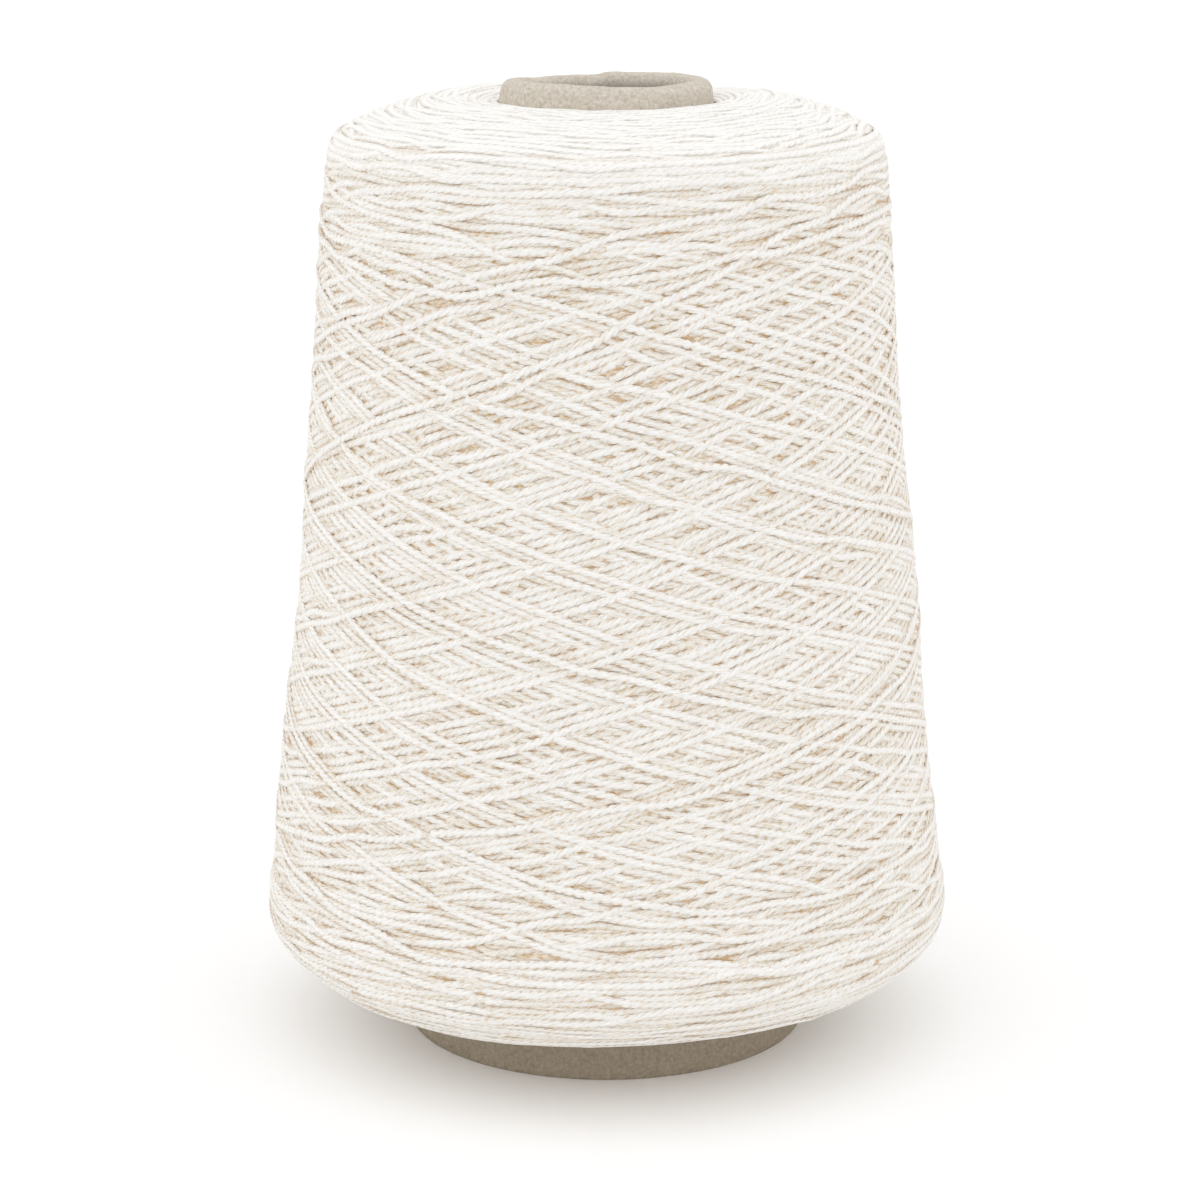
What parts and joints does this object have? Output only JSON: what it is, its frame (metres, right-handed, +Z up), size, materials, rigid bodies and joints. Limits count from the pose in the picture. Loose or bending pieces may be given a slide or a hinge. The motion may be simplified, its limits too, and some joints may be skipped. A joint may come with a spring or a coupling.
{
  "type": "cone of yarn",
  "caption": "Cross-wound cone of off-white plied cotton yarn on a grey paperboard cone tube with a rolled nose; stands on its rim or slips over a tapered holder.",
  "frame": {"origin": "centre of the tube's base, on the surface that the cone stands on", "axes": "+Z up along the cone's axis, from the base to the nose; -Y is the front"},
  "size_m": [0.1229, 0.1212, 0.17],
  "materials": {
    "greyboard": "matt grey-brown paperboard with fine fibre specks",
    "cotton_yarn": "matt off-white plied cotton yarn, slightly fuzzy"
  },
  "bodies": {
    "root": {"cone_tube": "greyboard", "yarn_winding": "cotton_yarn"}
  },
  "joints": []
}
